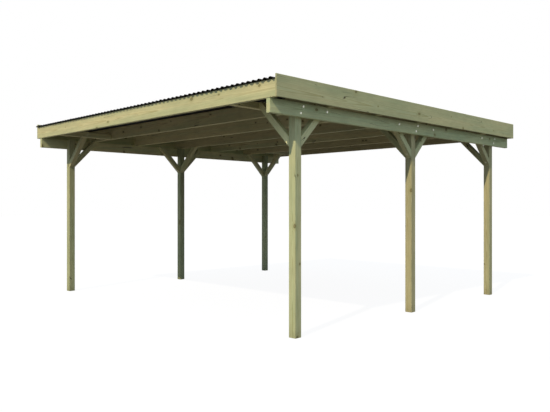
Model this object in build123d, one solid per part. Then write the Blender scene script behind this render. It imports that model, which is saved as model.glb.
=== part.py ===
from build123d import *
import os
from math import acos, atan2, ceil, cos, hypot, radians, sin, tan

# Timber carport for two cars: six posts in two rows, a beam bolted to the outer faces of
# each row, seven joists across both beams, side fascias, knee braces and a flat roof of
# lapped corrugated sheets.
#
# Frame: millimetres, +Z up, +Y the way a car drives in, +X to the right of the driver.
# The origin is on the ground, at the centre of the plan.
# The two rows are called right (+X) and left (-X). Along a row the posts are front
# (-Y), middle and rear (+Y).

# ---- driving dimensions -----------------------------------------------------------------

# Plan
BAY_WIDTH = 4697.0          # clear width between the two rows of posts
POST_PITCH = 2104.0         # from post to post along a row, centre to centre
END_OVERHANG = 407.0        # roof frame beyond the outer faces of the end posts
SIDE_OVERHANG = 125.0       # joists beyond the outer faces of both rows

# Heights
EAVES_HEIGHT = 2347.0       # ground to the tops of posts and beams

# Timber sections
POST_SIDE = 90.0
BEAM_THICK, BEAM_DEEP = 50.0, 140.0
JOIST_THICK, JOIST_DEEP = 45.0, 170.0
FASCIA_THICK, FASCIA_DEEP = 18.0, 215.0
TRIMMER_THICK, TRIMMER_DEEP = 70.0, 70.0
BRACE_SIDE = 70.0
ARRIS = 3.0                 # small chamfer along every planed edge

# Layout of the roof frame
JOIST_COUNT = 7
BEAM_SETBACK = 6.0          # beam ends behind the outer faces of the end joists

# Knee braces
BRACE_ANGLE = 45.0          # rise of a brace above the horizontal, in degrees
BRACE_REACH = 429.0         # post face to the tip of the brace's lower edge

# Corrugated sheets, in round waves
WAVE_PITCH = 77.75
WAVE_DEPTH = 18.0
SHEET_THICK = 1.5
SHEET_WAVES = 14            # waves that one sheet covers, without its lap
SHEET_OVERHANG = 29.0       # sheets beyond the outer faces of the end joists
SHEET_GAP = 2.0             # between the last trough and the right-hand fascia
LAP_CLEARANCE = 0.3         # between the two sheets of a side lap

# ---- derived places ---------------------------------------------------------------------

row_inner = BAY_WIDTH / 2                       # inner faces of the posts
row_outer = row_inner + POST_SIDE               # outer faces of the posts
row_centre = row_inner + POST_SIDE / 2
frame_half_width = row_outer + SIDE_OVERHANG    # joist ends, and inner faces of the fascias
frame_half_length = POST_PITCH + POST_SIDE / 2 + END_OVERHANG
joist_pitch = (2 * frame_half_length - JOIST_THICK) / (JOIST_COUNT - 1)

STATIONS = {"front": -1, "middle": 0, "rear": 1}    # posts of a row, in steps of the pitch


def save(node, shape):
    """Write one node to its STEP file."""
    export_step(shape, f"parts/{node}.step")


def timber(size_x, size_y, size_z, grain):
    """A planed length of timber, centred in plan on the ground, with its long arrises eased."""
    blank = Box(size_x, size_y, size_z, align=(Align.CENTER, Align.CENTER, Align.MIN))
    return chamfer(blank.edges().filter_by(grain), ARRIS)


# ---- posts and beams --------------------------------------------------------------------

def post():
    return timber(POST_SIDE, POST_SIDE, EAVES_HEIGHT, Axis.Z)


def beam():
    """One beam, level with the post tops, ready to move to its row."""
    length = 2 * (frame_half_length - BEAM_SETBACK)
    return Pos(Z=EAVES_HEIGHT - BEAM_DEEP) * timber(BEAM_THICK, length, BEAM_DEEP, Axis.Y)


# ---- roof frame -------------------------------------------------------------------------

def joist():
    """One joist across both beams. Its ends stop at the inner faces of the side fascias."""
    return Pos(Z=EAVES_HEIGHT) * timber(2 * frame_half_width, JOIST_THICK, JOIST_DEEP, Axis.X)


def fascia():
    """One side fascia. It covers the joist ends and stands above the sheets."""
    return Pos(Z=EAVES_HEIGHT) * timber(FASCIA_THICK, 2 * frame_half_length, FASCIA_DEEP, Axis.Y)


def joist_y(index):
    return (index - (JOIST_COUNT - 1) / 2) * joist_pitch


def trimmer_between(first, second):
    """A short piece between two neighbouring joists, on which an end post's brace bears."""
    length = joist_y(second) - joist_y(first) - JOIST_THICK
    middle = (joist_y(first) + joist_y(second)) / 2
    return Pos(Y=middle, Z=EAVES_HEIGHT) * timber(TRIMMER_THICK, length, TRIMMER_DEEP, Axis.Y)


# ---- knee braces ------------------------------------------------------------------------

def brace(square_top):
    """One knee brace, rising along +X from a post face at X = 0, with its side face on Y = 0.

    The foot is mitred to the post. The head is mitred level with the eaves, to bear under
    a joist or beside a beam, or with square_top it is cut upright, to bear on a trimmer,
    and stops level with the trimmer's top.
    """
    rise = radians(BRACE_ANGLE)
    foot = EAVES_HEIGHT - BRACE_REACH * tan(rise)
    upright_cut = BRACE_SIDE / cos(rise)
    level_cut = BRACE_SIDE / sin(rise)
    if square_top:
        top = min(TRIMMER_DEEP, upright_cut)
        back = BRACE_REACH - (upright_cut - top) / tan(rise)
        head = [(BRACE_REACH, EAVES_HEIGHT + top), (back, EAVES_HEIGHT + top)]
    else:
        head = [(BRACE_REACH - level_cut, EAVES_HEIGHT)]
    corners = [(0, foot), (BRACE_REACH, EAVES_HEIGHT), *head, (0, foot + upright_cut)]
    outline = make_face(Polyline(*corners, close=True))
    blank = extrude(Plane.XZ * outline, amount=-BRACE_SIDE)
    along = Axis((0, 0, 0), (cos(rise), 0, sin(rise)))
    return chamfer(blank.edges().filter_by(along), ARRIS)


# ---- corrugated roof --------------------------------------------------------------------

# In section a sheet is a chain of equal arcs, trough and crest in turn, that meet on the
# slope between them. At a side lap the upper sheet's arcs keep the same centres and clear
# the sheet below by one thickness, so that the two nest. The sheets are laid from the
# right-hand fascia, beside which the last lobe is a trough, and the left-hand sheet is cut
# to width beside the other fascia. Even lobes are troughs.
wave_radius = ((WAVE_PITCH / 4) ** 2 + (WAVE_DEPTH / 2) ** 2) / WAVE_DEPTH
centre_rise = 2 * wave_radius - WAVE_DEPTH      # centre of a trough above that of a crest
crest_centre_z = EAVES_HEIGHT + JOIST_DEEP + SHEET_THICK / 2 + WAVE_DEPTH - wave_radius
lap_lift = SHEET_THICK + LAP_CLEARANCE

last_trough_x = frame_half_width - SHEET_GAP
steps_across = ceil(2 * last_trough_x / (WAVE_PITCH / 2))
roof_waves = ceil(steps_across / 2)
roof_start = 2 * roof_waves - steps_across      # the leftmost lobe, which may be a crest
LAP_LOBES = 3                                   # trough, crest and trough of a side lap


def side_of(lobe):
    """1 for a crest, whose arc is above its centre, and -1 for a trough."""
    return 1 if lobe % 2 else -1


def slope_between(lobe, lift, next_lift):
    """Steepest slope between a lobe and the next, where both arcs and any flank meet."""
    reach = hypot(WAVE_PITCH / 2, centre_rise)
    radii = 2 * wave_radius + side_of(lobe) * (lift - next_lift)
    return atan2(WAVE_PITCH / 2, centre_rise) - acos(min(1.0, radii / reach))


def sheet_face(first_lobe, lifts, shift):
    """Curves of one face of a sheet, at a shift above its middle, from left to right."""
    curves = []
    before = 0.0
    for place, lift in enumerate(lifts):
        lobe = first_lobe + place
        side = side_of(lobe)
        radius = wave_radius + side * (lift + shift)
        centre_x = last_trough_x - (2 * roof_waves - lobe) * WAVE_PITCH / 2
        centre_z = crest_centre_z + (centre_rise if side < 0 else 0.0)
        last = place == len(lifts) - 1
        after = 0.0 if last else slope_between(lobe, lift, lifts[place + 1])
        start, middle, end = [
            (centre_x + radius * sin(turn), centre_z + side * radius * cos(turn))
            for turn in (-before, (after - before) / 2, after)
        ]
        if place and lift != lifts[place - 1]:
            curves.append(Line(curves[-1] @ 1, start))
        curves.append(ThreePointArc(start, middle, end))
        before = after
    return curves


def roof_sheet(first_wave):
    """One sheet. Its right-hand wave laps over the left-hand wave of the next sheet."""
    end_wave = min(first_wave + SHEET_WAVES, roof_waves)
    first_lobe = max(2 * first_wave, roof_start)
    lifts = [0.0] * (2 * end_wave + 1 - first_lobe)
    if end_wave < roof_waves:
        lifts = lifts[:-1] + [lap_lift] * LAP_LOBES
    top = sheet_face(first_lobe, lifts, SHEET_THICK / 2)
    bottom = sheet_face(first_lobe, lifts, -SHEET_THICK / 2)
    left_edge = Line(top[0] @ 0, bottom[0] @ 0)
    right_edge = Line(top[-1] @ 1, bottom[-1] @ 1)
    section = Plane.XZ * make_face([*top, right_edge, *bottom, left_edge])
    sheet = extrude(section, amount=frame_half_length + SHEET_OVERHANG, both=True)
    return sheet if first_wave else split(sheet, Plane.YZ.offset(-last_trough_x))


# ---- assembly ---------------------------------------------------------------------------

def both_rows(name, shape):
    """Save a piece of the right-hand row, and its mirror image in the left-hand row."""
    save(f"{name}_right", shape)
    save(f"{name}_left", mirror(shape, about=Plane.YZ))


def build_posts():
    for station, step in STATIONS.items():
        both_rows(f"post_{station}", Pos(row_centre, step * POST_PITCH) * post())


def build_roof_frame():
    both_rows("beam", Pos(X=row_outer + BEAM_THICK / 2) * beam())
    both_rows("fascia", Pos(X=frame_half_width + FASCIA_THICK / 2) * fascia())
    for index in range(JOIST_COUNT):
        save(f"joist_{index + 1}", Pos(Y=joist_y(index)) * joist())
    trimmer_x = row_inner - BRACE_REACH - TRIMMER_THICK / 2
    front_trimmer = Pos(X=trimmer_x) * trimmer_between(0, 1)
    both_rows("trimmer_front", front_trimmer)
    both_rows("trimmer_rear", mirror(front_trimmer, about=Plane.XZ))


def build_braces():
    """Braces beside the beams stand flush with the posts' outer faces. The inward ones
    stand flush with the front faces."""
    beam_brace = Pos(row_outer, POST_SIDE / 2) * Rot(Z=90) * brace(square_top=False)
    for station, step in STATIONS.items():
        post_y = step * POST_PITCH
        if station != "rear":
            both_rows(f"brace_{station}_rearward", Pos(Y=post_y) * beam_brace)
        if station != "front":
            forward = mirror(beam_brace, about=Plane.XZ)
            both_rows(f"brace_{station}_forward", Pos(Y=post_y) * forward)
        flush = Pos(row_inner, post_y - POST_SIDE / 2 + BRACE_SIDE) * Rot(Z=180)
        both_rows(f"brace_{station}_inward", flush * brace(square_top=station != "middle"))


def build_roof():
    for number, first_wave in enumerate(range(0, roof_waves, SHEET_WAVES), start=1):
        save(f"roof_sheet_{number}", roof_sheet(first_wave))


os.makedirs("parts", exist_ok=True)
build_posts()
build_roof_frame()
build_braces()
build_roof()
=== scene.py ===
import math
import random

import bmesh
import bpy
from mathutils import Matrix, Vector


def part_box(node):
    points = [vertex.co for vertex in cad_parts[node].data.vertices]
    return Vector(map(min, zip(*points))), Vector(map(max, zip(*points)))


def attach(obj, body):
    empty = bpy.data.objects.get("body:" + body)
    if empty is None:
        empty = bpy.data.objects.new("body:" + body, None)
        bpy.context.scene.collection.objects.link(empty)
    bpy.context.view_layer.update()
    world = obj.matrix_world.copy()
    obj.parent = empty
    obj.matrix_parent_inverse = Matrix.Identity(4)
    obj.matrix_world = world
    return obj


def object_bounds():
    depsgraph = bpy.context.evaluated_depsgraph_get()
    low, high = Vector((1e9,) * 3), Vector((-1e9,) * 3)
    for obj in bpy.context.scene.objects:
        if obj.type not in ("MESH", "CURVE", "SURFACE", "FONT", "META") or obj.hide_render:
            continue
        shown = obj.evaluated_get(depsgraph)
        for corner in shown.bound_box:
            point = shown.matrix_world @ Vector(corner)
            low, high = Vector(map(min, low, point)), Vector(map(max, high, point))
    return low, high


# Looks of the timber carport: treated pine for every timber, black corrugated sheets, and
# the screws that hold them. Metres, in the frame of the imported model: +Z up, +Y
# the way a car drives in, +X to the right of the driver.

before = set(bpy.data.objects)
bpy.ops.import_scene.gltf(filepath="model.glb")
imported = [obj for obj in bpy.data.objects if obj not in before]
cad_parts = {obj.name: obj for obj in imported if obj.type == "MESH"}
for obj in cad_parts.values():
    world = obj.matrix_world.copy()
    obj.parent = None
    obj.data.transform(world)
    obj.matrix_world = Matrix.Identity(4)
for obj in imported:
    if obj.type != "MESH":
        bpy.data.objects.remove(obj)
cad_low, cad_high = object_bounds()

MM = 0.001
SIDES = {"right": 1, "left": -1}
STATIONS = ("front", "middle", "rear")
JOISTS = sorted(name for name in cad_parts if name.startswith("joist_"))
SHEETS = sorted(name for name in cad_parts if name.startswith("roof_sheet_"))

# ---- sizes of the fixings -----------------------------------------------------------------

WASHER_RADIUS, WASHER_THICK = 12 * MM, 2 * MM               # of the 8 mm coach screws
HEX_RADIUS, HEX_HEIGHT, HEX_BEVEL = 7.5 * MM, 5.5 * MM, 0.7 * MM        # over the corners
SCREW_HEAD_RADIUS, SCREW_HEAD_HEIGHT = 5 * MM, 0.8 * MM
CAP_RADIUS, CAP_HEIGHT, CAP_RIM = 12.5 * MM, 3 * MM, 0.5 * MM   # sealing washer of a roof screw
CAP_SUNK = 0.4 * MM                     # how deep a roof screw's head sits in its washer
ROOF_HEAD_RADIUS, ROOF_HEAD_HEIGHT = 4.6 * MM, 4.5 * MM
ROOF_HEAD_TOP, ROOF_HEAD_EASE = 0.85, 0.5 * MM      # radius of its top as a share, and the slope
WASHER_SIDES, HEX_SIDES, SCREW_HEAD_SIDES, CAP_SIDES = 20, 6, 12, 16
CAP_STEPS = 4                           # facets of the sealing washer's dome, up one side

# A countersunk head with the dished recess for the bit, in shares of its radius and height
SCREW_HEAD_PROFILE = ((0.0, 0.0), (1.0, 0.0), (0.94, 0.6), (0.8, 1.0), (0.46, 1.0), (0.4, 0.3),
                      (0.0, 0.2))

# Coach screws through a beam: how far behind a post's centre, or back from the tip of a
# brace's head, and how far below the beam's top
POST_SCREWS = ((20 * MM, 32 * MM), (-18 * MM, 102 * MM))
HEAD_SCREW = (89 * MM, 49 * MM)
BRACE_SCREW_ALONG = 60 * MM             # screws in a brace's edges, from the foot's lower tip
TRIMMER_SCREW_HEIGHTS = (20 * MM, 50 * MM)      # above the trimmer's underside
WAVES_PER_SCREW = 4                     # roof screws stand on every fourth crest
FIRST_SCREWED_CREST = 2                 # counted from the left, where the first crest is 0
CREST_DEPTH = 3 * MM                    # how far below its highest line a crest is looked for
CREST_APART = 30 * MM                   # lines nearer than this belong to one crest
SAME_LINE = 0.1 * MM

# ---- timber -------------------------------------------------------------------------------

RING_PITCH = 4.2 * MM       # growth rings
LOG_TAPER = 0.007           # a log's radius lost per metre
PITH_WANDER = 10 * MM       # each way, along the log
PITH_SPREAD = (0.7, 1.3)    # share of its usual distance at which a sawn piece has its pith
HEARTWOOD = (60 * MM, 115 * MM)     # radii over which it turns to sapwood
LATE_START, LATE_END = (0.35, 0.9), (0.93, 1.0)     # of the dark wood, in shares of a ring
LATE_LEAST = 0.45           # strength of the palest ring
ARRIS_WIDTH = 5 * MM        # rubbed edge
SPLASH_HEIGHT = 0.16        # dulled foot of a post

WHORL_PITCH = 0.42          # between the whorls of branches that leave knots
WHORL_SPREAD = 0.6          # share of the pitch over which one whorl's branches scatter
BRANCHES, BRANCH_KEY = 3, 3.7       # tried in a whorl, and the step between their random keys
BRANCH_RISE = 0.3           # slope of a branch up the log
BRANCH_START, BRANCH_GROWN = 0.15, 25 * MM      # share of its radius at the pith, and where full
BRANCH_MISSING = 0.78       # share of the possible branches that are missing
KNOT_SMALL, KNOT_LARGE = 4 * MM, 13 * MM        # radii
KNOT_SQUEEZE = 0.6          # of lengths along the grain, so that knots are long ovals
KNOT_EDGE, HALO_EDGE = (0.85, 1.05), (1.0, 3.6)         # these three lines in branch radii
BARK_START, BARK_END = (0.6, 0.95), (1.05, 1.35)
OUT_OF_REACH = 100.0        # from a branch that isn't there
RING_DETOUR = 1.8           # rings that bend round a knot

# Noises: scale along the grain, through the thickness and across the width, and detail
BEND = ((0.7, 4.0, 4.0), 1.0)
STREAK = ((0.5, 14.0, 14.0), 3.0)
PATCH = ((1.3, 5.0, 5.0), 3.0)
FIBRE = ((4.0, 190.0, 190.0), 2.0)
STAIN = ((9.0, 26.0, 26.0), 4.0)
CHECK_PATH = ((0.8, 9.0, 9.0), 1.0)         # drying checks follow its middle value
CHECK_PLACE = ((1.9, 3.0, 3.0), 2.0)
CORE, BROAD, WIDE = (0.3, 0.7), (0.25, 0.75), (0.2, 0.8)    # spans of a noise that changes use
CHECK_WIDTH, CHECK_WHERE = (0.002, 0.005), (0.56, 0.62)     # in those two noises
RUBBED_WHERE, RUBBED_SHARE = (0.35, 0.6), (0.2, 0.9)        # in the stain
KEY_RANGE = 60              # pieces take their noise from places up to this far apart

STREAK_WARMTH, PATCH_WARMTH, HEART_WARMTH = 0.18, 0.15, 0.12        # each way
PATCH_LIGHT, FIBRE_LIGHT, STAIN_LIGHT = (0.94, 1.06), (0.92, 1.06), (0.95, 1.03)
HALO_DEPTH, KNOT_DEPTH, BARK_DEPTH, SPLASH_DEPTH = 0.34, 0.70, 0.50, 0.8
WOOD_ROUGHNESS, LATE_ROUGHNESS, KNOT_ROUGHNESS, FIBRE_ROUGHNESS = 0.80, -0.10, -0.14, 0.08
LATE_RELIEF, KNOT_RELIEF, CHECK_RELIEF = 0.35, 0.8, -3.0    # beside 1 for the fibre
PINE_BUMP, PINE_SPECULAR = (0.5, 0.5 * MM), 0.2             # strength and height of the relief
END_FACING = (0.5, 0.6)     # how far a face has to look along the grain to be a sawn end

SAP_GREEN = (0.475, 0.531, 0.310)
HEART_YELLOW = (0.640, 0.572, 0.330)
LATE_WOOD = (0.80, 0.76, 0.66)          # these four multiply the colour of the wood
END_GRAIN = (0.94, 0.92, 0.92)
RUBBED = (1.05, 1.04, 1.05)
SPLASHED = (0.80, 0.79, 0.78)
KNOT_HALO = (0.38, 0.335, 0.130)
KNOT_HEART = (0.20, 0.160, 0.055)
KNOT_BARK = (0.075, 0.060, 0.022)
CHECK_DARK = (0.10, 0.085, 0.05)

# Per kind of timber: warmth (0 green to 1 yellow), lightness, pith beyond the piece's centre
# across its thickness and its width, and the angle over which its branches fan out
TIMBERS = {
    "post": (0.36, 0.95, 12 * MM, 12 * MM, math.tau),
    "beam": (0.11, 1.20, 60 * MM, 30 * MM, 2.2),
    "joist": (0.84, 1.22, 65 * MM, 30 * MM, 2.2),
    "trimmer": (0.65, 1.12, 65 * MM, 30 * MM, 2.2),
    "fascia": (0.50, 1.00, 70 * MM, 40 * MM, 2.4),
    "brace": (0.48, 1.13, 40 * MM, 30 * MM, 2.6),
}
# Lengths that differ from their kind, in warmth and lightness. Some are the wood's own tone;
# for the pieces marked below the tint is painted shade and painted light, darker or lighter
# for the shade they sit in
TINTS_AND_PAINTED_LIGHT_AND_SHADE = {
    "post_front_right": (-0.06, 1.19),
    "post_middle_right": (0.36, 0.91),
    "post_rear_right": (0.42, 0.92),
    # painted shade: the middle and rear left posts are darker and greener for the shade under the
    # roof
    "post_middle_left": (-0.20, 0.92),
    "post_rear_left": (-0.20, 0.86),
    "joist_1": (-0.04, 0.91),
    "joist_2": (-0.05, 0.88),
    "joist_3": (0.02, 1.05),
    "joist_4": (0.00, 0.87),
    # painted shade: joists 6 and 7 are darker for the shade at the rear
    "joist_6": (0.10, 0.92),
    "joist_7": (0.20, 0.84),
    "beam_left": (0.36, 1.03),
    # painted light: lighter and warmer for the light in its shade
    "trimmer_front_right": (0.25, 1.20),
    # painted light: lighter for the light in its shade
    "brace_front_inward_right": (0.25, 1.45),
    # painted shade: darker for the shade under the roof
    "brace_front_inward_left": (0.20, 0.88),
    # painted light: lighter for the light in its shade
    "brace_front_rearward_right": (0.00, 1.20),
    # painted shade: the forward and inward braces on the rear right post are darker for their shade
    "brace_rear_forward_right": (-0.05, 0.82),
    "brace_rear_inward_right": (-0.05, 0.86),
}
WARMTH_SPREAD, LIGHT_SPREAD = 0.12, 0.04

# ---- sheets, fixings, lights and camera -----------------------------------------------------

SHEET_BLACK = (0.0090, 0.0080, 0.0065)
SHEET_DUST = (0.055, 0.054, 0.048)
FACING_UP = (0.2, 0.6)              # upward part of the normal on a sheet's upper side
TROUGH_DUST = (2 * MM, 10 * MM)     # height in the wave over which the dust thins out
CLOUD, GRIT = ((9.0, 1.6, 9.0), 4.0), ((160.0, 160.0, 160.0), 2.0)      # noises, as above
CLOUD_KEY, GRIT_KEY = 3.0, 7.0
DUST_WHERE, DUST_DEPTH = (0.35, 0.7), 0.4
FILM_WHERE, FILM_DEPTH = (0.4, 0.8), 0.04           # thin dust all over
SHEET_ROUGHNESS, DUST_ROUGHNESS = (0.60, 0.70), 0.4
SHEET_BUMP, SHEET_SPECULAR = (0.25, 0.3 * MM), 0.1

ZINC_LIGHT, ZINC_DARK = (0.74, 0.75, 0.67), (0.56, 0.57, 0.51)
SPANGLE = 260.0                     # crystals per metre
HAZE, HAZE_KEY = ((90.0, 90.0, 90.0), 3.0), 2.0
ZINC_TONES = (0.5, 1.5)             # of spangle and haze together
ZINC_ROUGHNESS, ZINC_BUMP = (0.30, 0.46), (0.15, 0.1 * MM)

SUN_TRAVEL = Vector((-0.28, 1.0, -0.925))
SUN_STRENGTH, SUN_COLOUR, SUN_ANGLE = 2.50, (1.0, 0.885, 0.645), math.radians(0.8)
SKY_LOW, SKY_HIGH = (0.30, 0.40, 0.47), (0.42, 0.54, 0.63)      # at the horizon, and above it
HORIZON_BAND = 0.3                  # upward part of a direction at which the sky is all high
FLOOR_RADIUS, FLOOR_SIDES, FLOOR_GAP = 70.0, 96, 1 * MM
FLOOR_GLOW, FLOOR_PALE = 0.935, (0.09, 0.09, 0.10)      # what the camera sees
FLOOR_BOUNCE = (0.16, 0.146, 0.136)                     # what lights the object

CAMERA_AT = Vector((6.5965, -6.592, 1.3266))
CAMERA_HEADING = math.radians(45)
CAMERA_LENS, SENSOR_WIDTH = 40.0, 36.0
HORIZON_SHIFT = -0.0009


# ---- node trees -----------------------------------------------------------------------------

class Tree:
    """Short calls for adding nodes to one shader tree. Values may be sockets or constants."""

    def __init__(self, tree):
        self.tree = tree

    def add(self, kind, inputs=None, **settings):
        node = self.tree.nodes.new(kind)
        for name, value in settings.items():
            setattr(node, name, value)
        for key, value in (inputs or {}).items():
            if isinstance(value, bpy.types.NodeSocket):
                self.tree.links.new(value, node.inputs[key])
            else:
                node.inputs[key].default_value = value
        return node

    def maths(self, operation, *values):
        return self.add("ShaderNodeMath", dict(enumerate(values)), operation=operation).outputs[0]

    def vector(self, operation, *values):
        node = self.add("ShaderNodeVectorMath", dict(enumerate(values)), operation=operation)
        return node.outputs["Value" if operation in ("DOT_PRODUCT", "LENGTH") else "Vector"]

    def split(self, vector):
        return self.add("ShaderNodeSeparateXYZ", {0: vector}).outputs

    def join(self, x, y, z):
        return self.add("ShaderNodeCombineXYZ", {0: x, 1: y, 2: z}).outputs[0]

    def step(self, value, low, high, start=0.0, end=1.0):
        """Smooth change from start to end while the value goes from low to high."""
        inputs = {"Value": value, "From Min": low, "From Max": high, "To Min": start, "To Max": end}
        return self.add("ShaderNodeMapRange", inputs, interpolation_type="SMOOTHSTEP").outputs[0]

    def mix(self, factor, first, second, blend="MIX"):
        inputs = {0: factor, 6: rgba(first), 7: rgba(second)}
        return self.add("ShaderNodeMix", inputs, data_type="RGBA", blend_type=blend).outputs[2]

    def noise(self, point, pattern, key, output="Fac"):
        """Noise with a pattern's scale and detail, moved on by the key so that pieces differ."""
        scale, detail = pattern
        scaled = self.vector("MULTIPLY", point, scale)
        place = self.vector("ADD", scaled, self.join(key, key, key))
        inputs = {"Vector": place, "Scale": 1.0, "Detail": detail}
        return self.add("ShaderNodeTexNoise", inputs).outputs[output]

    def bump(self, height, strength, distance):
        inputs = {"Strength": strength, "Distance": distance, "Height": height}
        return self.add("ShaderNodeBump", inputs).outputs["Normal"]


def rgba(colour):
    return (*colour, 1.0) if isinstance(colour, tuple) else colour


def new_group(name, inputs, outputs):
    """A node group with its tree, its input sockets by name and its output node."""
    group = bpy.data.node_groups.new(name, "ShaderNodeTree")
    for label, kind in inputs.items():
        group.interface.new_socket(label, in_out="INPUT", socket_type=f"NodeSocket{kind}")
    for label, kind in outputs.items():
        group.interface.new_socket(label, in_out="OUTPUT", socket_type=f"NodeSocket{kind}")
    tree = Tree(group)
    return tree, tree.add("NodeGroupInput").outputs, tree.add("NodeGroupOutput").inputs


def new_material(name):
    """An empty node material, and its principled shader."""
    material = bpy.data.materials.new(name)
    material.use_nodes = True
    tree = Tree(material.node_tree)
    return material, tree, material.node_tree.nodes["Principled BSDF"]


def drive(tree, shader, **sockets):
    for name, socket in sockets.items():
        tree.tree.links.new(socket, shader.inputs[name.replace("_", " ")])


# ---- treated pine ---------------------------------------------------------------------------

def branch_group():
    """Distance from one branch of a whorl, in branch radii. The branch leaves the pith at a
    random angle in the fan, leans up the log and is missing where its random size is small."""
    tree, given, out = new_group(
        "branch",
        {"Point": "Vector", "Cell": "Float", "Along": "Float", "Key": "Float",
         "Aim": "Float", "Fan": "Float"},
        {"Ratio": "Float"},
    )
    seed = tree.join(given["Cell"], given["Key"], 0.5)
    draw = tree.add("ShaderNodeTexWhiteNoise", {"Vector": seed}, noise_dimensions="3D")
    turn, shift, size = tree.split(draw.outputs["Color"])
    turn = tree.maths("SUBTRACT", turn, 0.5)
    angle = tree.maths("MULTIPLY_ADD", turn, given["Fan"], given["Aim"])
    cosine, sine = tree.maths("COSINE", angle), tree.maths("SINE", angle)
    _, y, z = tree.split(given["Point"])
    radial = tree.maths("MULTIPLY_ADD", y, cosine, tree.maths("MULTIPLY", z, sine))
    forth, back = tree.maths("MULTIPLY", z, cosine), tree.maths("MULTIPLY", y, sine)
    side = tree.maths("SUBTRACT", forth, back)
    shift = tree.maths("SUBTRACT", shift, 0.5)
    place = tree.maths("MULTIPLY", shift, WHORL_PITCH * WHORL_SPREAD)
    along = tree.maths("SUBTRACT", given["Along"], place)
    along = tree.maths("SUBTRACT", along, tree.maths("MULTIPLY", radial, BRANCH_RISE))
    grown = tree.step(radial, 0.0, BRANCH_GROWN, BRANCH_START)
    radius = tree.step(size, BRANCH_MISSING, 1.0, KNOT_SMALL, KNOT_LARGE)
    radius = tree.maths("MULTIPLY", radius, grown)
    squeezed = tree.maths("MULTIPLY", along, KNOT_SQUEEZE)
    distance = tree.vector("LENGTH", tree.join(squeezed, side, 0.0))
    missing = tree.maths("LESS_THAN", size, BRANCH_MISSING)
    behind = tree.maths("LESS_THAN", radial, 0.0)
    far = tree.maths("MULTIPLY", tree.maths("MAXIMUM", missing, behind), OUT_OF_REACH)
    ratio = tree.maths("ADD", tree.maths("DIVIDE", distance, radius), far)
    tree.tree.links.new(ratio, out["Ratio"])
    return tree.tree


def nearest_knot(tree, branch, point, given):
    """Distance from the nearest of a whorl's branches, in branch radii."""
    along = tree.maths("ADD", tree.maths("DIVIDE", tree.split(point)[0], WHORL_PITCH), given["Key"])
    cell = tree.maths("FLOOR", along)
    place = tree.maths("SUBTRACT", tree.maths("FRACT", along), 0.5)
    place = tree.maths("MULTIPLY", place, WHORL_PITCH)
    nearest = None
    for number in range(BRANCHES):
        key = tree.maths("ADD", given["Key"], BRANCH_KEY * number)
        inputs = {"Point": point, "Cell": cell, "Along": place, "Key": key,
                  "Aim": given["Aim"], "Fan": given["Fan"]}
        node = tree.add("ShaderNodeGroup", node_tree=branch)
        for name, socket in inputs.items():
            tree.tree.links.new(socket, node.inputs[name])
        ratio = node.outputs["Ratio"]
        nearest = ratio if nearest is None else tree.maths("MINIMUM", nearest, ratio)
    return nearest


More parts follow.
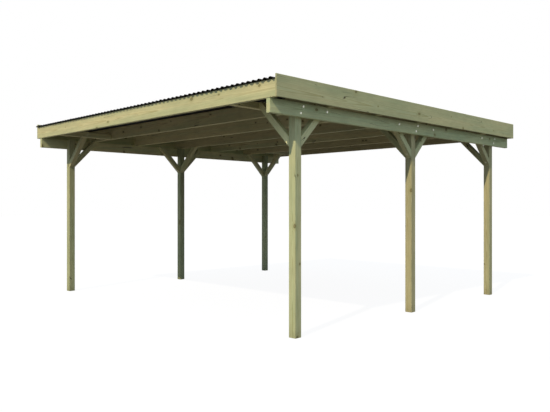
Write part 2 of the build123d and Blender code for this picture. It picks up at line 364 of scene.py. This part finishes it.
def pine_group():
    """Treated pine in a piece's own frame: X along the grain, Y through its thickness."""
    tree, given, out = new_group(
        "treated_pine",
        {"Point": "Vector", "Half": "Vector", "Pith": "Vector", "Key": "Float", "Aim": "Float",
         "Fan": "Float", "Warmth": "Float", "Lightness": "Float", "End": "Float",
         "Height": "Float"},
        {"Colour": "Color", "Roughness": "Float", "Relief": "Float"},
    )
    point, key, end = given["Point"], given["Key"], given["End"]
    log_point = tree.vector("SUBTRACT", point, given["Pith"])
    bend = tree.noise(log_point, BEND, key, "Color")
    bend = tree.vector("SUBTRACT", bend, (0.5, 0.5, 0.5))
    bend = tree.vector("MULTIPLY", bend, (0.0, 2 * PITH_WANDER, 2 * PITH_WANDER))
    log_point = tree.vector("ADD", log_point, bend)

    ratio = nearest_knot(tree, branch_group(), log_point, given)
    halo = tree.step(ratio, *HALO_EDGE, 1.0, 0.0)
    knot = tree.step(ratio, *KNOT_EDGE, 1.0, 0.0)
    bark = tree.step(ratio, *BARK_END, 1.0, 0.0)
    bark = tree.maths("MULTIPLY", tree.step(ratio, *BARK_START), bark)

    along, across, up = tree.split(log_point)
    radius = tree.vector("LENGTH", tree.join(0.0, across, up))
    radius = tree.maths("MULTIPLY_ADD", along, LOG_TAPER, radius)
    rings = tree.maths("DIVIDE", radius, RING_PITCH)
    rings = tree.maths("MULTIPLY_ADD", halo, RING_DETOUR, rings)
    ring = tree.maths("FRACT", rings)
    late = tree.step(ring, *LATE_END, 1.0, 0.0)
    late = tree.maths("MULTIPLY", tree.step(ring, *LATE_START), late)
    ring_number = tree.maths("FLOOR", rings)
    year = tree.add("ShaderNodeTexWhiteNoise", {"W": ring_number}, noise_dimensions="1D")
    late = tree.maths("MULTIPLY", late, tree.step(year.outputs["Value"], 0.0, 1.0, LATE_LEAST))

    streak, patch, fibre, stain = [
        tree.noise(point, pattern, key) for pattern in (STREAK, PATCH, FIBRE, STAIN)
    ]
    warmth = given["Warmth"]
    for change in (
        tree.step(streak, *CORE, -STREAK_WARMTH, STREAK_WARMTH),
        tree.step(patch, *CORE, -PATCH_WARMTH, PATCH_WARMTH),
        tree.step(radius, *HEARTWOOD, HEART_WARMTH, -HEART_WARMTH),
    ):
        warmth = tree.maths("ADD", warmth, change)
    colour = tree.mix(warmth, SAP_GREEN, HEART_YELLOW)
    light = given["Lightness"]
    for change in (
        tree.step(patch, *BROAD, *PATCH_LIGHT),
        tree.step(fibre, *WIDE, *FIBRE_LIGHT),
        tree.step(stain, *CORE, *STAIN_LIGHT),
    ):
        light = tree.maths("MULTIPLY", light, change)
    colour = tree.vector("MULTIPLY", colour, tree.join(light, light, light))
    colour = tree.mix(late, colour, tree.mix(1.0, colour, LATE_WOOD, "MULTIPLY"))
    colour = tree.mix(end, colour, tree.mix(1.0, colour, END_GRAIN, "MULTIPLY"))
    colour = tree.mix(tree.maths("MULTIPLY", halo, HALO_DEPTH), colour, KNOT_HALO)
    colour = tree.mix(tree.maths("MULTIPLY", knot, KNOT_DEPTH), colour, KNOT_HEART)
    colour = tree.mix(tree.maths("MULTIPLY", bark, BARK_DEPTH), colour, KNOT_BARK)

    check = drying_check(tree, point, key)
    colour = tree.mix(check, colour, CHECK_DARK)
    rubbed = tree.step(stain, *RUBBED_WHERE, *RUBBED_SHARE)
    rubbed = tree.maths("MULTIPLY", arris(tree, given), rubbed)
    colour = tree.mix(rubbed, colour, tree.mix(1.0, colour, RUBBED, "MULTIPLY"))
    ragged = tree.maths("MULTIPLY_ADD", stain, SPLASH_HEIGHT, given["Height"])
    splash = tree.step(ragged, SPLASH_HEIGHT * 0.5, SPLASH_HEIGHT * 1.5, SPLASH_DEPTH, 0.0)
    colour = tree.mix(splash, colour, tree.mix(1.0, colour, SPLASHED, "MULTIPLY"))

    roughness = tree.maths("MULTIPLY_ADD", late, LATE_ROUGHNESS, WOOD_ROUGHNESS)
    roughness = tree.maths("MULTIPLY_ADD", knot, KNOT_ROUGHNESS, roughness)
    roughness = tree.maths("MULTIPLY_ADD", fibre, FIBRE_ROUGHNESS, roughness)
    relief = tree.maths("MULTIPLY_ADD", late, LATE_RELIEF, fibre)
    relief = tree.maths("MULTIPLY_ADD", knot, KNOT_RELIEF, relief)
    relief = tree.maths("MULTIPLY_ADD", check, CHECK_RELIEF, relief)
    for name, socket in {"Colour": colour, "Roughness": roughness, "Relief": relief}.items():
        tree.tree.links.new(socket, out[name])
    return tree.tree


def drying_check(tree, point, key):
    """Fine cracks along the grain, on some stretches only."""
    path = tree.noise(point, CHECK_PATH, key)
    aside = tree.maths("ABSOLUTE", tree.maths("SUBTRACT", path, 0.5))
    line = tree.step(aside, *CHECK_WIDTH, 1.0, 0.0)
    where = tree.noise(point, CHECK_PLACE, key)
    return tree.maths("MULTIPLY", line, tree.step(where, *CHECK_WHERE))


def arris(tree, given):
    """1 along the piece's long edges, and 0 away from them."""
    inset = tree.vector("SUBTRACT", given["Half"], tree.vector("ABSOLUTE", given["Point"]))
    _, across, up = tree.split(inset)
    return tree.step(tree.maths("MAXIMUM", across, up), 0.0, ARRIS_WIDTH, 1.0, 0.0)


def straight_frame(low, high):
    """Origin, grain, thickness direction and half sizes of a timber that lies along an axis."""
    size = high - low
    order = sorted(range(3), key=lambda axis: size[axis])
    grain, thick = Vector(), Vector()
    grain[order[2]] = 1.0
    thick[order[0]] = 1.0
    half = Vector((size[order[2]], size[order[0]], size[order[1]])) / 2
    return (low + high) / 2, grain, thick, half


def brace_frame(node, low, high):
    """The same for a knee brace, which rises at 45 degrees from its foot on a post."""
    size, centre = high - low, (low + high) / 2
    run = 0 if size.x > size.y else 1
    inward = -math.copysign(1, centre.x)
    sign = {"rearward": 1, "forward": -1, "inward": inward}[node.split("_")[2]]
    grain, thick = Vector((0, 0, 1)), Vector()
    grain[run] = sign
    thick[1 - run] = 1.0
    grain.normalize()
    half = size[1 - run] / 2
    foot = centre.copy()
    foot[run] = low[run] if sign > 0 else high[run]
    foot.z = low.z
    upward = thick.cross(grain)
    upward *= math.copysign(1, upward.z)
    return foot + upward * half, grain, thick, Vector((size.length / 2, half, half))


def timber_frame(node):
    low, high = (Vector(corner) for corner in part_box(node))
    return brace_frame(node, low, high) if node.startswith("brace_") else straight_frame(low, high)


def timber_material(node, pine):
    """Pine for one timber: its own place in the log, tint and knots, drawn from its name. For some
    timbers the tint holds painted shade and painted light.
    """
    draw = random.Random(node)
    warmth, lightness, pith_thick, pith_wide, fan = TIMBERS[node.split("_")[0]]
    # the table's tints include painted shade and painted light for some timbers
    warmer, lighter = TINTS_AND_PAINTED_LIGHT_AND_SHADE.get(node, (draw.uniform(-1, 1) * WARMTH_SPREAD, 1.0))
    lighter *= 1 + draw.uniform(-1, 1) * LIGHT_SPREAD
    if fan == math.tau:     # the pith lies inside the piece
        across = pith_thick * draw.uniform(-1, 1)
    else:
        across = pith_thick * draw.choice((-1, 1)) * draw.uniform(*PITH_SPREAD)
    up = pith_wide * draw.uniform(-1, 1)
    origin, grain, thick, half = timber_frame(node)

    material, tree, shader = new_material(f"pine_{node}")
    turn = Matrix((grain, thick, grain.cross(thick))).transposed().to_euler()
    place = tree.add("ShaderNodeTexCoord").outputs["Object"]
    mapping = tree.add("ShaderNodeMapping", {"Vector": place}, vector_type="TEXTURE")
    mapping.inputs["Location"].default_value = origin
    mapping.inputs["Rotation"].default_value = turn
    normal = tree.add("ShaderNodeNewGeometry").outputs["True Normal"]
    facing = tree.maths("ABSOLUTE", tree.vector("DOT_PRODUCT", normal, tuple(grain)))

    inputs = {
        "Point": mapping.outputs["Vector"], "Half": half, "Pith": (0.0, across, up),
        "Key": draw.uniform(0, KEY_RANGE), "Aim": math.atan2(-up, -across), "Fan": fan,
        "Warmth": warmth + warmer, "Lightness": lightness * lighter,
        "End": tree.step(facing, *END_FACING), "Height": tree.split(place)[2],
    }
    wood = tree.add("ShaderNodeGroup", node_tree=pine)
    for name, value in inputs.items():
        if isinstance(value, bpy.types.NodeSocket):
            tree.tree.links.new(value, wood.inputs[name])
        else:
            wood.inputs[name].default_value = value
    drive(tree, shader, Base_Color=wood.outputs["Colour"], Roughness=wood.outputs["Roughness"],
          Normal=tree.bump(wood.outputs["Relief"], *PINE_BUMP))
    shader.inputs["Specular IOR Level"].default_value = PINE_SPECULAR
    return material


# ---- sheets and fixings -----------------------------------------------------------------------

def sheet_material():
    """Black matt sheet. Dust lies in the troughs and runs down the sheets in faint lines."""
    material, tree, shader = new_material("black_sheet")
    place = tree.add("ShaderNodeTexCoord").outputs["Object"]
    low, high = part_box(SHEETS[0])
    normal = tree.add("ShaderNodeNewGeometry").outputs["True Normal"]
    upper = tree.step(tree.split(normal)[2], *FACING_UP)
    thin_out = [low[2] + height for height in TROUGH_DUST]
    trough = tree.step(tree.split(place)[2], *thin_out, 1.0, 0.0)
    cloud, grit = tree.noise(place, CLOUD, CLOUD_KEY), tree.noise(place, GRIT, GRIT_KEY)
    dust = tree.maths("MULTIPLY", upper, trough)
    dust = tree.maths("MULTIPLY", dust, tree.step(cloud, *DUST_WHERE))
    dust = tree.maths("MULTIPLY", dust, DUST_DEPTH)
    dust = tree.maths("ADD", dust, tree.step(cloud, *FILM_WHERE, 0.0, FILM_DEPTH))
    colour = tree.mix(dust, SHEET_BLACK, SHEET_DUST)
    roughness = tree.step(grit, *WIDE, *SHEET_ROUGHNESS)
    roughness = tree.maths("MULTIPLY_ADD", dust, DUST_ROUGHNESS, roughness)
    drive(tree, shader, Base_Color=colour, Roughness=roughness,
          Normal=tree.bump(grit, *SHEET_BUMP))
    shader.inputs["Specular IOR Level"].default_value = SHEET_SPECULAR
    return material


def zinc_material():
    """Bright zinc plating with a soft spangle."""
    material, tree, shader = new_material("zinc_steel")
    place = tree.add("ShaderNodeTexCoord").outputs["Object"]
    cell = tree.add("ShaderNodeTexVoronoi", {"Vector": place, "Scale": SPANGLE})
    tone = tree.split(cell.outputs["Color"])[0]
    haze = tree.noise(place, HAZE, HAZE_KEY)
    shade = tree.step(tree.maths("ADD", tone, haze), *ZINC_TONES)
    colour = tree.mix(shade, ZINC_DARK, ZINC_LIGHT)
    roughness = tree.step(tone, 0.0, 1.0, *ZINC_ROUGHNESS)
    drive(tree, shader, Base_Color=colour, Roughness=roughness,
          Normal=tree.bump(haze, *ZINC_BUMP))
    shader.inputs["Metallic"].default_value = 1.0
    return material


def turned(profile, segments, smooth):
    """A mesh turned about Z from a profile of (radius, height) points. Ends on the axis close."""
    shape = bmesh.new()
    rings = []
    for radius, height in profile:
        count = segments if radius > 0 else 1
        rings.append([
            shape.verts.new((radius * math.cos(step * math.tau / segments),
                             radius * math.sin(step * math.tau / segments), height))
            for step in range(count)
        ])
    for lower, upper in zip(rings, rings[1:]):
        for step in range(segments):
            after = (step + 1) % segments
            corners = [lower[step % len(lower)], lower[after % len(lower)],
                       upper[after % len(upper)], upper[step % len(upper)]]
            face = shape.faces.new(dict.fromkeys(corners))
            face.smooth = smooth
    bmesh.ops.recalc_face_normals(shape, faces=shape.faces)
    return shape


def dome(radius, height, rim, steps):
    """Profile of a domed head that stands on a short upright rim."""
    arcs = [step / steps * math.pi / 2 for step in range(steps + 1)]
    curve = [(radius * math.cos(arc), rim + (height - rim) * math.sin(arc)) for arc in arcs]
    return [(0.0, 0.0), (radius, 0.0), *curve[:-1], (0.0, height)]


def coach_screw():
    """The washer and hexagonal head of a coach screw."""
    top = WASHER_THICK + HEX_HEIGHT
    rim = WASHER_THICK - HEX_BEVEL
    washer = [(0.0, 0.0), (WASHER_RADIUS, 0.0), (WASHER_RADIUS, rim),
              (WASHER_RADIUS - HEX_BEVEL, WASHER_THICK), (0.0, WASHER_THICK)]
    head = [(0.0, WASHER_THICK), (HEX_RADIUS, WASHER_THICK), (HEX_RADIUS, top - HEX_BEVEL),
            (HEX_RADIUS - HEX_BEVEL, top), (0.0, top)]
    return [turned(washer, WASHER_SIDES, False), turned(head, HEX_SIDES, False)]


def screw_head():
    """A countersunk head, with the dished recess for the bit."""
    profile = [(SCREW_HEAD_RADIUS * across, SCREW_HEAD_HEIGHT * up)
               for across, up in SCREW_HEAD_PROFILE]
    return [turned(profile, SCREW_HEAD_SIDES, False)]


def roof_screw():
    """A sealing washer that grips the crest, and a hexagonal head on it."""
    washer = dome(CAP_RADIUS, CAP_HEIGHT, CAP_RIM, CAP_STEPS)
    seat = [(radius, height - CAP_HEIGHT / 2) for radius, height in washer]
    base = CAP_HEIGHT / 2 - CAP_SUNK
    side = base + ROOF_HEAD_HEIGHT
    top = side + ROOF_HEAD_EASE
    head = [(0.0, base), (ROOF_HEAD_RADIUS, base), (ROOF_HEAD_RADIUS, side),
            (ROOF_HEAD_RADIUS * ROOF_HEAD_TOP, top), (0.0, top)]
    return [turned(seat, CAP_SIDES, True), turned(head, HEX_SIDES, False)]


def gathered(name, material, fixings):
    """One piece from many fixings. Each is (shapes, place, direction that its head faces)."""
    whole = bmesh.new()
    for shapes, place, facing in fixings:
        turn = Vector(facing).to_track_quat("Z", "Y").to_matrix().to_4x4()
        move = Matrix.Translation(place) @ turn
        for shape in shapes:
            mesh = bpy.data.meshes.new("part")
            shape.to_mesh(mesh)
            mesh.transform(move)
            whole.from_mesh(mesh)
            bpy.data.meshes.remove(mesh)
    data = bpy.data.meshes.new(name)
    whole.to_mesh(data)
    whole.free()
    piece = bpy.data.objects.new(name, data)
    bpy.context.scene.collection.objects.link(piece)
    data.materials.append(material)
    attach(piece, "root")
    return piece


def box_of(node):
    low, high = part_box(node)
    return Vector(low), Vector(high)


def outer_x(node, sign):
    """X of the side of a node that faces away from the bay, in the row of that sign."""
    low, high = box_of(node)
    return high.x if sign > 0 else low.x


def beam_screws(side, sign):
    """Coach screws through one beam into its posts and the heads of the braces beside it."""
    shapes = coach_screw()
    face, top = outer_x(f"beam_{side}", sign), box_of(f"beam_{side}")[1].z
    places = []
    for station in STATIONS:
        low, high = box_of(f"post_{station}_{side}")
        places += [((low.y + high.y) / 2 + behind, top - below) for behind, below in POST_SCREWS]
    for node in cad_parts:
        if node.startswith("brace_") and node.endswith(side) and "inward" not in node:
            low, high = box_of(node)
            back, below = HEAD_SCREW
            places.append((low.y + back if "forward" in node else high.y - back, top - below))
    return [(shapes, (face, y, z), (sign, 0, 0)) for y, z in places]


def brace_screws():
    """A screw in the lower edge of each brace at its foot, and in each trimmer behind a head."""
    head = screw_head()
    fixings = []
    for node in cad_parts:
        if node.startswith("brace_"):
            origin, grain, thick, half = timber_frame(node)
            outward = thick.cross(grain)
            outward *= -math.copysign(1, outward.z)
            fixings.append((head, origin + outward * half.z + grain * BRACE_SCREW_ALONG, outward))
    for side, sign in SIDES.items():
        for station in ("front", "rear"):
            low, high = box_of(f"brace_{station}_inward_{side}")
            face = outer_x(f"trimmer_{station}_{side}", -sign)
            base = box_of(f"trimmer_{station}_{side}")[0].z
            for height in TRIMMER_SCREW_HEIGHTS:
                fixings.append((head, (face, (low.y + high.y) / 2, base + height), (-sign, 0, 0)))
    return fixings


def crests():
    """The crest lines of the whole roof from left to right, as (x, z), read from the sheets."""
    found = {}
    for node in SHEETS:
        low, high = box_of(node)
        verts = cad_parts[node].data.vertices
        for x in {round(vert.co.x, 4) for vert in verts if vert.co.z > high.z - CREST_DEPTH}:
            top = max(vert.co.z for vert in verts if abs(vert.co.x - x) < SAME_LINE)
            found[x] = max(top, found.get(x, 0.0))
    lines = []
    for x in sorted(found):
        if lines and x - lines[-1][0] < CREST_APART:
            lines[-1] = max(lines[-1], (x, found[x]), key=lambda line: line[1])
        else:
            lines.append((x, found[x]))
    return lines


def roof_screws():
    """Screws through the crests into each joist."""
    shapes, screwed = roof_screw(), crests()[FIRST_SCREWED_CREST::WAVES_PER_SCREW]
    fixings = []
    for node in JOISTS:
        low, high = box_of(node)
        fixings += [(shapes, (x, (low.y + high.y) / 2, z), (0, 0, 1)) for x, z in screwed]
    return fixings


# ---- stage ------------------------------------------------------------------------------------

def seen_directly(tree):
    """1 for rays from the camera or off metal, which see the white background, and 0 for light."""
    path = tree.add("ShaderNodeLightPath").outputs
    seen = tree.maths("ADD", path["Is Camera Ray"], path["Is Glossy Ray"])
    return tree.maths("MINIMUM", tree.maths("ADD", seen, path["Is Transmission Ray"]), 1.0)


def make_floor():
    """A white floor that keeps a faint shadow, and sends little light back up."""
    shape = bmesh.new()
    bmesh.ops.create_circle(shape, cap_ends=True, segments=FLOOR_SIDES, radius=FLOOR_RADIUS)
    data = bpy.data.meshes.new("floor")
    shape.to_mesh(data)
    shape.free()
    floor = bpy.data.objects.new("floor", data)
    floor.location.z = cad_low.z - FLOOR_GAP
    bpy.context.scene.collection.objects.link(floor)

    material = bpy.data.materials.new("white_floor")
    material.use_nodes = True
    tree = Tree(material.node_tree)
    tree.tree.nodes.clear()
    glow = tree.add("ShaderNodeEmission", {"Strength": FLOOR_GLOW})
    pale = tree.add("ShaderNodeBsdfDiffuse", {"Color": rgba(FLOOR_PALE)})
    shown = tree.add("ShaderNodeAddShader", {0: glow.outputs[0], 1: pale.outputs[0]})
    dull = tree.add("ShaderNodeBsdfDiffuse", {"Color": rgba(FLOOR_BOUNCE)})
    mixed = tree.add("ShaderNodeMixShader", {0: seen_directly(tree), 1: dull.outputs[0],
                                             2: shown.outputs[0]})
    tree.add("ShaderNodeOutputMaterial", {"Surface": mixed.outputs[0]})
    data.materials.append(material)


def make_world():
    """White behind the object, and for its light a sky that is darker at the horizon."""
    world = bpy.data.worlds.new("studio")
    bpy.context.scene.world = world
    world.use_nodes = True
    tree = Tree(world.node_tree)
    tree.tree.nodes.clear()
    white = tree.add("ShaderNodeBackground", {"Color": rgba((1.0, 1.0, 1.0)), "Strength": 1.0})
    direction = tree.add("ShaderNodeTexCoord").outputs["Generated"]
    height = tree.step(tree.split(direction)[2], 0.0, HORIZON_BAND)
    sky = tree.add("ShaderNodeBackground", {"Color": tree.mix(height, SKY_LOW, SKY_HIGH)})
    mixed = tree.add("ShaderNodeMixShader", {0: seen_directly(tree), 1: sky.outputs[0],
                                             2: white.outputs[0]})
    tree.add("ShaderNodeOutputWorld", {"Surface": mixed.outputs[0]})


def make_sun():
    lamp = bpy.data.lights.new("sun", "SUN")
    lamp.energy, lamp.color, lamp.angle = SUN_STRENGTH, SUN_COLOUR, SUN_ANGLE
    sun = bpy.data.objects.new("sun", lamp)
    sun.rotation_mode = "QUATERNION"
    sun.rotation_quaternion = SUN_TRAVEL.to_track_quat("-Z", "Y")
    bpy.context.scene.collection.objects.link(sun)


def make_camera():
    lens = bpy.data.cameras.new("camera")
    lens.lens, lens.sensor_width, lens.shift_y = CAMERA_LENS, SENSOR_WIDTH, HORIZON_SHIFT
    camera = bpy.data.objects.new("camera", lens)
    camera.location = CAMERA_AT
    camera.rotation_euler = (math.pi / 2, 0.0, CAMERA_HEADING)
    bpy.context.scene.collection.objects.link(camera)
    bpy.context.scene.camera = camera


# ---- the whole scene ----------------------------------------------------------------------------

def dress_nodes(sheet):
    """Give every CAD node its own procedural material."""
    pine = pine_group()
    for name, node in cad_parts.items():
        material = sheet if name in SHEETS else timber_material(name, pine)
        for slot in node.material_slots:
            slot.material = material


def add_fixings(sheet, zinc):
    for side, sign in SIDES.items():
        gathered(f"beam_screws_{side}", zinc, beam_screws(side, sign))
    gathered("brace_screws", zinc, brace_screws())
    gathered("roof_screws", sheet, roof_screws())


sheet_plastic, zinc_steel = sheet_material(), zinc_material()
dress_nodes(sheet_plastic)
add_fixings(sheet_plastic, zinc_steel)
make_floor()
make_world()
make_sun()
make_camera()
bpy.context.scene.view_settings.view_transform = "Standard"
